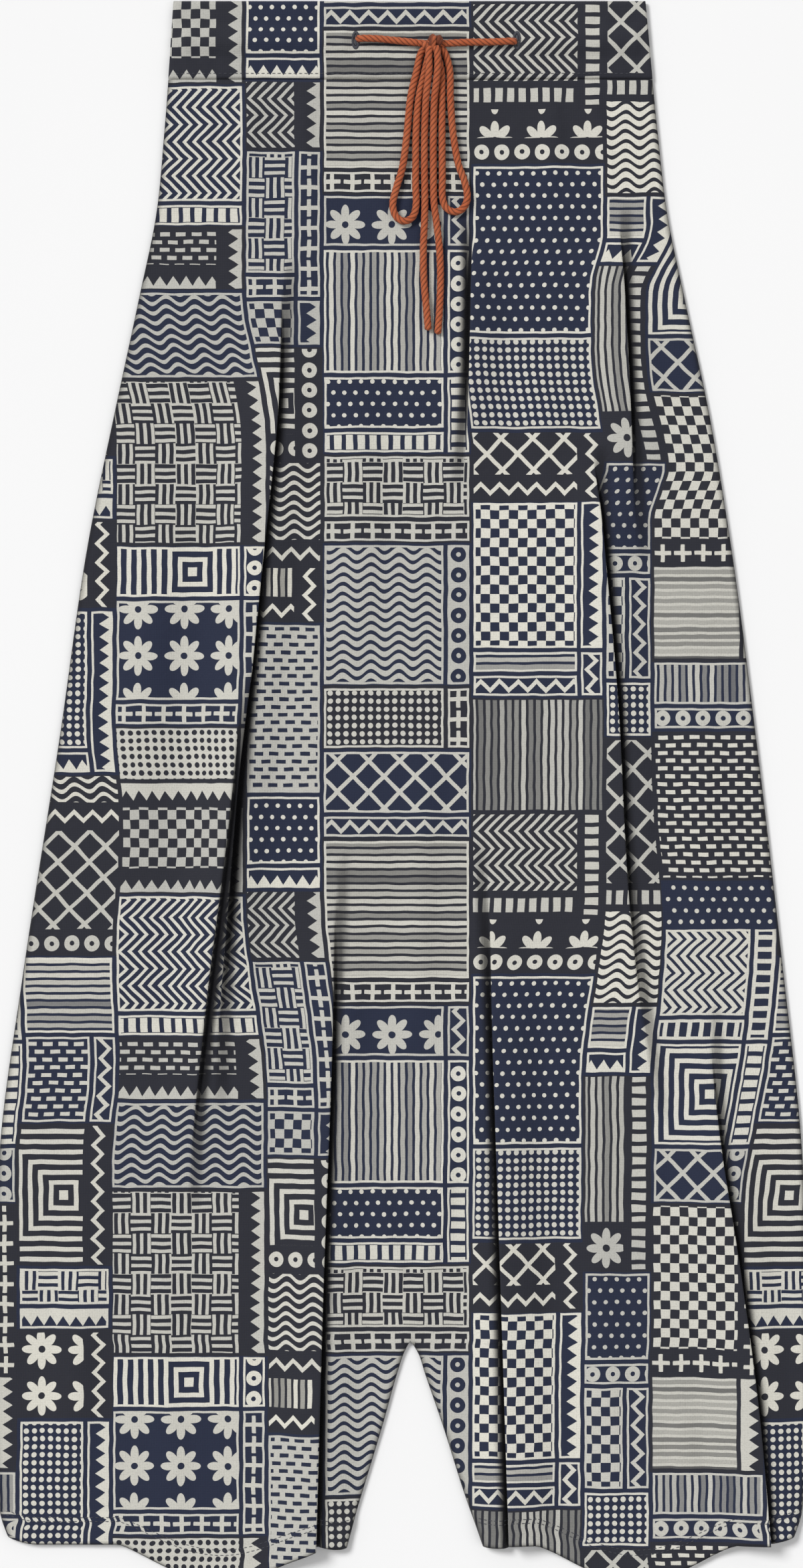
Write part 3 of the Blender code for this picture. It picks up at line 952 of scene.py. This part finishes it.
def uneven_bars(finish, x, seed, pitch=0.0046):
    """Stripes of uneven brightness with a thin dark line between them."""
    tone = finish.node("ShaderNodeTexWhiteNoise", {"noise_dimensions": "2D"}, {
        "Vector": finish.node("ShaderNodeCombineXYZ", None, {0: (x / pitch).whole(), 1: seed})})
    return bars(x, pitch, 0.62) * (tone * 0.75 + 0.25)


def rosettes(finish, x, y, pitch=0.030):
    """Eight-petalled flowers with a dark eye."""
    px, py = ((x / pitch).fraction() - 0.5) * pitch, ((y / pitch).fraction() - 0.5) * pitch
    far = finish.node("ShaderNodeVectorMath", {"operation": "LENGTH"},
                      {0: finish.node("ShaderNodeCombineXYZ", None, {0: px, 1: py})}, output=1)
    petal = abs(px.maths("COSINE", px.maths("ARCTAN2", py, px) * 4.0))
    return (far < petal * 0.0064 + 0.0064) * (far > 0.0022)


def figures(finish, a, b, ca, cb, seed):
    """Each figure of the print in turn, from metres inside the block."""
    yield lambda: uneven_bars(finish, a, seed)
    yield lambda: spots(a + 0.0026, b + 0.0026, 0.0052, 0.0017)
    yield lambda: bars(a + b.swing(0.011), 0.0064, 0.41)
    yield lambda: uneven_bars(finish, b, seed)
    yield lambda: bars(ca.most(cb), 0.0066, 0.45)
    yield lambda: spots(a + (b / 0.0072).whole() * 0.0036, b, 0.0072, 0.0014)
    yield lambda: bars(b + a.wave(0.018) * 0.0024, 0.0062, 0.41)
    yield lambda: abs(bars(a, 0.012, 0.5) - bars(b, 0.012, 0.5))
    yield lambda: rosettes(finish, a, b)
    yield lambda: bars(a + (b / 0.0050).whole() * 0.0048, 0.0100, 0.62) * bars(b, 0.0050, 0.5)
    yield lambda: abs(a.swing(0.010) - b.swing(0.010)) < 0.0018
    yield lambda: finish.pick(abs(bars(a, 0.026, 0.5) - bars(b, 0.026, 0.5)),
                              bars(a, 0.0047, 0.46), bars(b, 0.0047, 0.46))


def strip_figures(along_strip, across):
    """Figures of the narrow strips, from metres along them and from their middle."""
    centred = ((along_strip / 0.0130).fraction() - 0.5) * 0.0130
    yield lambda: abs(across - (along_strip.swing(0.0060) - 0.0030)) < 0.0017
    yield lambda: (centred * centred + across * across < 0.0049**2) * (
        centred * centred + across * across > 0.0015**2)
    yield lambda: bars(along_strip, 0.0076, 0.62) * (abs(across) < 0.0045)
    yield lambda: (abs(centred).least(abs(across)) < 0.0013) * (
        centred * centred + across * across < 0.0056**2)
    yield lambda: (across + 0.0046) < along_strip.swing(0.0042) * 1.5


# %% [markdown]
# ### Printing it
#
# Cycles works through a material in the order that its nodes were made and holds every value
# that is still needed. A figure is therefore mixed in as soon as it is made, so only a few
# values are held at a time.

# %% The printed cloth's finish
CREAM, GREY = linear(222, 219, 207), linear(150, 151, 150)
CHARCOAL, NAVY = linear(42, 43, 51), linear(37, 43, 63)
# the near-black of the painted shade in the folds and along the seams and hem
PAINTED_SHADE_COLOUR = linear(14, 14, 19)
STRIP_ACROSS, STRIP_DOWN = 0.0165, 0.0155
WOBBLE = 0.0015


def printed(name, shift=(0.0, 0.0)):
    """A printed plain-weave cloth. shift moves the print on the cloth, in metres."""
    cloth = Finish(name, Specular_IOR_Level=0.25, Sheen_Weight=0.06, Sheen_Roughness=0.5)
    u, v = cloth.surface_uv()
    flat = cloth.node("ShaderNodeCombineXYZ", None, {0: u, 1: v})
    drift = cloth.node("ShaderNodeTexNoise", None, {"Vector": flat, "Scale": 75.0, "Detail": 1.0}, output=1)
    dx, dy = cloth.node("ShaderNodeSeparateColor", None, {0: drift}, output=(0, 1))
    u2 = u + dx * WOBBLE + (3.02 + shift[0])
    v2 = v + dy * WOBBLE + (5.20 + shift[1])

    at = (u2 / REPEAT_ACROSS).fraction()
    left, width, column_seed = block_ramp(cloth, at, COLUMN_WIDTHS, COLUMN_SEEDS)
    a = (at - left) * REPEAT_ACROSS
    w = width * REPEAT_ACROSS
    at_row = (v2 / REPEAT_DOWN + column_seed * 1.7).fraction()
    even = block_ramp(cloth, at_row, ROW_HEIGHTS[0], ROW_SEEDS[0])
    odd = block_ramp(cloth, at_row, ROW_HEIGHTS[1], ROW_SEEDS[1])
    which = column_seed > 0.45
    low, height, row_seed = [cloth.pick(which, one, other) for one, other in zip(even, odd)]
    b = (at_row - low) * REPEAT_DOWN
    h = height * REPEAT_DOWN

    chosen = (column_seed + row_seed + 0.5 / FIGURES).fraction() * FIGURES
    tone = (column_seed * 3.7 + row_seed * 5.9 + 0.11).fraction()
    ca, cb = abs(a - w * 0.5), abs(b - h * 0.5)
    ink = None
    for k, figure in enumerate(figures(cloth, a, b, ca, cb, tone)):
        drawn = figure()
        ink = drawn if ink is None else cloth.pick(
            chosen.maths("COMPARE", chosen, k + 0.5, 0.5), ink, drawn)

    has_side = (column_seed * 2.3 + row_seed * 3.1 + 0.05).fraction() > 0.35
    has_foot = (column_seed * 4.1 + row_seed * 1.9 + 0.23).fraction() > 0.45
    in_side = ((w - a) < STRIP_ACROSS) * has_side
    in_foot = (b < STRIP_DOWN) * has_foot * (1 - in_side)
    along_strip = cloth.pick(in_side, a, b)
    across = cloth.pick(in_side, b - STRIP_DOWN / 2, w - a - STRIP_ACROSS / 2)
    strip_chosen = (tone * 3.3 + 0.1).fraction() * 5.0
    strip = None
    for k, figure in enumerate(strip_figures(along_strip, across)):
        drawn = figure()
        strip = drawn if strip is None else cloth.pick(
            strip.maths("COMPARE", strip_chosen, k + 0.5, 0.5), strip, drawn)
    ink = cloth.pick(in_side.most(in_foot), ink, strip)

    to_strip = abs(w - a - STRIP_ACROSS) + (1 - has_side)
    to_foot = abs(b - STRIP_DOWN) + (1 - has_foot) + in_side
    edge = (w * 0.5 - ca).least(h * 0.5 - cb).least(to_strip).least(to_foot)
    sparse = chosen.maths("COMPARE", chosen, 5.5, 0.5)
    flipped = ((tone * 13.7).fraction() > 0.88) * (1 - sparse)
    ink = cloth.pick(flipped, ink, 1 - ink)
    ruled = (edge < 0.0028) * (tone > 0.45)
    ink = ink.most(ruled) * (edge > 0.0014)

    worn = cloth.node("ShaderNodeTexNoise", None, {"Vector": flat, "Scale": 900.0, "Detail": 2.0})
    ink = ink * (worn * 0.5 + 0.72).least(1.0)
    pale = cloth.colour((tone * 7.3).fraction() * 0.6, CREAM, GREY)
    ground = cloth.colour((tone > 0.55).most(sparse), CHARCOAL, NAVY)
    # painted shade: the cloth turns near-black where the mesh's painted shade attribute says, down in the
    # folds and along the seams and hem
    painted_shade_depth = cloth.node("ShaderNodeAttribute", {"attribute_name": "painted_shade"}, output=2)
    cloth.feed("Base Color", cloth.colour(painted_shade_depth, cloth.colour(ink, ground, pale), PAINTED_SHADE_COLOUR))

    warp = u.wave(0.0011) * 0.00003 + v.wave(0.0011) * 0.00003
    crinkle = cloth.node("ShaderNodeTexNoise", None, {"Vector": flat, "Scale": 60.0, "Detail": 4.0})
    cloth.relief(warp + crinkle * 0.0011 + worn * 0.00008)
    cloth.feed("Roughness", worn * 0.12 + 0.78)
    print(f"{name}: {len(cloth.tree.nodes)} nodes")
    return cloth


PRINT = printed("patchwork_print")
BACK_PRINT = printed("patchwork_print_back", shift=(0.21, 0.13))
CASING_PRINT = printed("patchwork_print_casing", shift=(0.0, 0.0))

# %% [markdown]
# ## The front and the back
#
# The front carries all the folds. The back lies on the floor, so it stays flat, with only a
# few shallow creases pressed into it from below.

# %% The front
bm = cut_panel(FRONT_COLUMNS, FRONT_ROWS, front_place, painted_fold_and_edge_shade, FOLDS)
front = walled(finished("front_cloth", bm, PRINT, ["front_panel"]), CLOTH)
front_area = cloth_area(front)
print("front area:", round(front_area, 4))

# %% The back
BACK_CREASES = (
    Crease(0.0006, 0.006, ((0.050, -0.080), (0.120, -0.086), (0.230, -0.080))),
    Crease(0.0006, 0.005, ((0.050, 0.060), (0.130, 0.068), (0.260, 0.066))),
    Crease(0.0006, 0.008, ((0.180, -0.020), (0.330, -0.012), (0.500, -0.020))),
    Crease(0.0006, 0.007, ((0.300, 0.120), (0.440, 0.130), (0.610, 0.150))),
    Crease(0.0006, 0.007, ((0.340, -0.140), (0.520, -0.160), (0.700, -0.165))),
    Crease(0.0005, 0.006, ((0.560, 0.050), (0.700, 0.056), (0.850, 0.060))),
    Crease(0.0005, 0.006, ((0.600, -0.060), (0.740, -0.054), (0.860, -0.050))),
    Crease(0.0006, 0.009, ((0.720, 0.200), (0.850, 0.206), (0.980, 0.204))),
    Crease(0.0006, 0.008, ((0.700, -0.210), (0.830, -0.214), (0.970, -0.206))),
)


def back_place(x, level, side):
    """The place of the back's upper face. Its under side is flat on the floor."""
    blend = smooth_step((level - HEM + HEM_BLEND) / HEM_BLEND)
    down = level + hem_shift(x, side) * blend
    roll = edge_roll(x, level, side)
    z = CLOTH + crease_form(BACK_CREASES, x, down) * (1 - roll) + EDGE_RISE * roll
    return np.stack([x, WAIST_Y - down, z], axis=-1)


# painted shade along the back's rolled side seams and inseams
def back_painted_edge_shade(x, level, side):
    return EDGE_PAINTED_SHADE * np.sqrt(edge_roll(x, level, side))


bm = cut_panel(BACK_COLUMNS, BACK_ROWS, back_place, back_painted_edge_shade, ())
back = walled(finished("back_cloth", bm, BACK_PRINT, ["back_panel"]), CLOTH)
print("back area:", round(cloth_area(back), 4))

# %% [markdown]
# ## The casing
#
# A doubled strip runs along the waist with the cord inside it. The cord lifts it in a soft
# roll, except between the buttonholes, where the cord is outside. A drawn casing is gathered,
# so uneven small puckers cross it, deepest beside the buttonholes.

# %% The casing
CORD_DOWN = 0.0255
CORD_SWELL, SWELL_WIDTH, SWELL_END = 0.0032, 0.0110, 0.010
BUTTONHOLES = (-0.0290, 0.0745)
CASING_COLUMNS, CASING_ROWS = 300, 30
PUCKER = 0.0008


def casing_swell(x, down):
    """How far the cord inside lifts the casing."""
    left, right = BUTTONHOLES
    into = np.maximum(left - x, x - right) / SWELL_END
    side_x = np.where(x > CENTRE_X, outer_x(down, 1), outer_x(down, -1))
    ends = smooth_step(into) * smooth_step(np.abs(side_x - x) / SWELL_END)
    return CORD_SWELL * ends * bell((down - CORD_DOWN) / SWELL_WIDTH)


def puckers(x, down):
    """Small uneven gathers that cross the casing."""
    made = np.array([
        noise.noise(Vector((a / 0.0085 + 0.8 * math.sin(b / 0.02), b / 0.045, 7.7)))
        for a, b in zip(x, down)
    ])
    left, right = BUTTONHOLES
    outside = smooth_step(np.maximum(left - x, x - right) / 0.012)
    near_hole = np.exp(-((np.minimum(abs(x - left), abs(x - right)) / 0.020) ** 2))
    strength = 0.25 + 0.75 * outside + 0.6 * near_hole * outside
    return PUCKER * np.clip(made + 0.15, -0.35, 1.0) * strength * bell((down - 0.026) / 0.034)


def casing_grid(name, top, height_of, columns, rows, finish, nodes):
    bm = bmesh.new()
    uv = bm.loops.layers.uv.new("UVMap")
    bmesh.ops.create_grid(bm, x_segments=columns, y_segments=rows, size=1.0)
    for vert in bm.verts:
        down = (1 - vert.co.y) / 2 * CASING_HEIGHT
        left, right = float(outer_x(down, -1)), float(outer_x(down, 1))
        x = left + (right - left) * (1 + vert.co.x) / 2
        for loop in vert.link_loops:
            loop[uv].uv = (x - CENTRE_X, -down)
        vert.co = (x, WAIST_Y - down, 0.0)
    xs = np.array([v.co.x for v in bm.verts])
    downs = np.array([WAIST_Y - v.co.y for v in bm.verts])
    for vert, z in zip(bm.verts, top + height_of(xs, downs)):
        vert.co.z = z
    return walled(finished(name, bm, finish, nodes), CASING_WALL)


def casing_edges(x, down):
    """How much the casing's four edges turn."""
    sides = np.minimum(np.abs(outer_x(down, 1) - x), np.abs(x - outer_x(down, -1)))
    ends = np.minimum(down, CASING_HEIGHT - down)
    return rolled(sides, EDGE_ROLL), rolled(ends, 0.0022)


def casing_front_form(x, down):
    sides, ends = casing_edges(x, down)
    flat = (1 - sides) * (1 - ends)
    return casing_swell(x, down) + puckers(x, down) * flat - 0.0006 * sides - 0.0008 * ends


def casing_back_form(x, down):
    sides, ends = casing_edges(x, down)
    return 0.0002 * sides


casing_front = casing_grid("casing_front_cloth", CASING_TOP, casing_front_form, CASING_COLUMNS, CASING_ROWS,
                           CASING_PRINT, ["waist_casing_front"])
casing_back = casing_grid("casing_back_cloth", CASING_WALL, casing_back_form, 120, 16,
                          CASING_PRINT, ["waist_casing_back"])
print("casing areas:", round(cloth_area(casing_front), 4), round(cloth_area(casing_back), 4))

# %% [markdown]
# ## Sewing
#
# Stitches are thousands of tiny pieces. One stitch is a low sphere, stretched along the seam
# and sunk half way into the cloth. bmesh places each with a matrix, and a whole row is one
# mesh. The thread is a dark charcoal that blends with the print.

# %% Thread
STITCH, STITCH_PITCH, THREAD = 0.0026, 0.0034, 0.00055

thread = Finish("sewing_thread", Roughness=0.6, Sheen_Weight=0.1)
place = thread.node("ShaderNodeTexCoord", output=3)
twist = thread.node("ShaderNodeTexNoise", None, {"Vector": place, "Scale": 1800.0, "Detail": 2.0})
thread.feed("Base Color", thread.colour(twist, linear(38, 39, 46), linear(74, 76, 86)))
thread.relief(twist * 0.0001)


def sew(name, points, normals, length=STITCH, pitch=STITCH_PITCH, thick=THREAD):
    """A row of stitches along points on the cloth, with the cloth's normals."""
    steps = np.linalg.norm(np.diff(points, axis=0), axis=1)
    run = np.concatenate([[0.0], np.cumsum(steps)])
    bm = bmesh.new()
    count = int(run[-1] / pitch)
    for k in range(count):
        at = (k + 0.5) * run[-1] / count
        ends = [np.array([np.interp(at + d, run, points[:, i]) for i in range(3)])
                for d in (-length / 2, length / 2)]
        up = Vector([np.interp(at, run, normals[:, i]) for i in range(3)]).normalized()
        ahead = Vector(ends[1] - ends[0]).normalized()
        side = up.cross(ahead).normalized()
        up = ahead.cross(side)
        turn = Matrix((ahead, side, up)).transposed().to_4x4()
        middle = Matrix.Translation(Vector((ends[0] + ends[1]) / 2) + up * thick * 0.15)
        size = Matrix.Diagonal((length / 2, thick / 2, thick / 2, 1.0))
        bmesh.ops.create_uvsphere(bm, u_segments=6, v_segments=5, radius=1.0, matrix=middle @ turn @ size)
    return finished(name, bm, thread)


def on_panel(place_of, xs, levels, side):
    """Places and normals of a panel's upper face along a line."""
    def at(x, level):
        return np.vstack([place_of(np.array([a]), b, side) for a, b in zip(x, level)])
    points = at(xs, levels)
    across = at(xs + 0.0004, levels) - points
    down = at(xs, levels + 0.0004) - points
    normals = np.cross(down, across)
    normals /= np.linalg.norm(normals, axis=1)[:, None]
    return points, normals


# %% Sew the hems and the casing
HEM_ROWS = (0.0175, 0.0150)  # heights of the stitch rows above the hem
CASING_ROW = 0.0465  # how far below the waist edge the casing is sewn down
for side, leg in ((-1, "left"), (1, "right")):
    xs = np.linspace(float(inner_x(HEM - 0.02, side)) + side * 0.004,
                     float(outer_x(HEM - 0.02, side)) - side * 0.004, 240)
    for k, height in enumerate(HEM_ROWS):
        points, normals = on_panel(front_place, xs, np.full_like(xs, HEM - height), side)
        sew(f"hem_stitches_front_{leg}_{k + 1}", points, normals)
        points, normals = on_panel(back_place, xs, np.full_like(xs, HEM - height), side)
        points[:, 2] -= CLOTH - 0.65 * THREAD
        sew(f"hem_stitches_back_{leg}_{k + 1}", points, -normals)

xs = np.linspace(float(outer_x(0.047, -1)) + 0.004, float(outer_x(0.047, 1)) - 0.004, 300)
downs = np.full_like(xs, CASING_ROW)
z = CASING_TOP + casing_front_form(xs, downs)
points = np.stack([xs, WAIST_Y - downs, z], axis=1)
sew("casing_stitches", points, np.tile((0.0, 0.0, 1.0), (len(xs), 1)))

# %% [markdown]
# ### Buttonholes
#
# The cord comes out through two worked buttonholes. Each is a slit with a dense ring of short
# stitches round it. The slit itself is a flat dark oval in the thread's colour, painted shade
# where the opening lies.

# %% Work the buttonholes
SLIT_HALF = (0.0010, 0.0040)
SLIT_STITCHES = 38
SLIT_DOWN = 0.0252


def oval(reach, turn):
    return (SLIT_HALF[0] + reach) * math.cos(turn), (SLIT_HALF[1] + reach) * math.sin(turn)


for hole_x, label in zip(BUTTONHOLES, ("left", "right")):
    bm = bmesh.new()
    for k in range(SLIT_STITCHES):
        turn = 2 * math.pi * k / SLIT_STITCHES
        (x0, y0), (x1, y1) = oval(0.0002, turn), oval(0.0018, turn)
        middle_x, middle_y = hole_x + (x0 + x1) / 2, WAIST_Y - SLIT_DOWN + (y0 + y1) / 2
        z = CASING_TOP + float(casing_front_form(np.array([middle_x]), np.array([WAIST_Y - middle_y]))[0])
        ahead = Vector((x1 - x0, y1 - y0, -0.0002)).normalized()
        side_way = Vector((0, 0, 1)).cross(ahead).normalized()
        turned = Matrix((ahead, side_way, ahead.cross(side_way))).transposed().to_4x4()
        size = Matrix.Diagonal((0.0011, 0.00042, 0.00042, 1.0))
        where = Matrix.Translation((middle_x, middle_y, z + 0.0002))
        bmesh.ops.create_uvsphere(bm, u_segments=6, v_segments=5, radius=1.0, matrix=where @ turned @ size)
    # The slit is a flat dark oval on the casing, painted shade for the opening.
    z = CASING_TOP + float(casing_front_form(np.array([hole_x]), np.array([SLIT_DOWN]))[0])
    painted_shade_slit = Matrix.Translation((hole_x, WAIST_Y - SLIT_DOWN, z)) @ Matrix.Diagonal((*SLIT_HALF, 0.0002, 1.0))
    bmesh.ops.create_uvsphere(bm, u_segments=24, v_segments=6, radius=1.0, matrix=painted_shade_slit)
    finished(f"buttonhole_{label}", bm, thread)

# %% [markdown]
# ## Floor and light
#
# The floor is plain and pale. A broad, far light high on the left gives the folds their
# shadows, and a weaker one on the right and a bright room fill them. The picture is shown
# without a film curve, because the print's cream and near-black would both turn grey in one.

# %% Floor and light
FLOOR_SIZE = 60.0
floor = Finish("pale_floor", Roughness=0.9)
where = floor.node("ShaderNodeTexCoord", output=3)
grain = floor.node("ShaderNodeTexNoise", None, {"Vector": where, "Scale": 3.0, "Detail": 2.0})
floor.feed("Base Color", floor.colour(grain, (0.90, 0.90, 0.90, 1), (0.93, 0.93, 0.93, 1)))
bm = bmesh.new()
bmesh.ops.create_grid(bm, x_segments=4, y_segments=4, size=FLOOR_SIZE / 2)
bmesh.ops.translate(bm, verts=bm.verts, vec=(0, 0, -0.0003))
floor_mesh = bpy.data.meshes.new("floor")
bm.to_mesh(floor_mesh)
bm.free()
floor_mesh.materials.append(floor.material)
floor_piece = bpy.data.objects.new("floor", floor_mesh)
bpy.context.scene.collection.objects.link(floor_piece)
floor_piece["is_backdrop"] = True


def soft_light(name, place, width, strength):
    """A light so far away that it is even over the whole cloth. width is in degrees of sky."""
    data = bpy.data.lights.new(name, "SUN")
    data.angle = math.radians(width)
    data.energy = strength
    light = bpy.data.objects.new(name, data)
    light.location = place
    light.rotation_euler = (-Vector(place)).to_track_quat("-Z", "Y").to_euler()
    bpy.context.scene.collection.objects.link(light)


bpy.context.scene.view_settings.view_transform = "Standard"
soft_light("key", (-1.5, 1.2, 2.0), 22, 2.2)
soft_light("fill", (1.7, -0.6, 2.2), 50, 0.5)
world = bpy.data.worlds.new("studio")
world.use_nodes = True
world.node_tree.nodes["Background"].inputs[0].default_value = (1.0, 1.0, 1.0, 1.0)
world.node_tree.nodes["Background"].inputs[1].default_value = 0.40
bpy.context.scene.world = world

# %% [markdown]
# ## Finish
#
# Both boxes, the construction's and the dressed model's, are printed. The dressed model
# has to keep the construction's size.

# %% Finish
size = {"cad": CAD_BOX, "visual": [list(corner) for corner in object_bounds()]}
print(size)
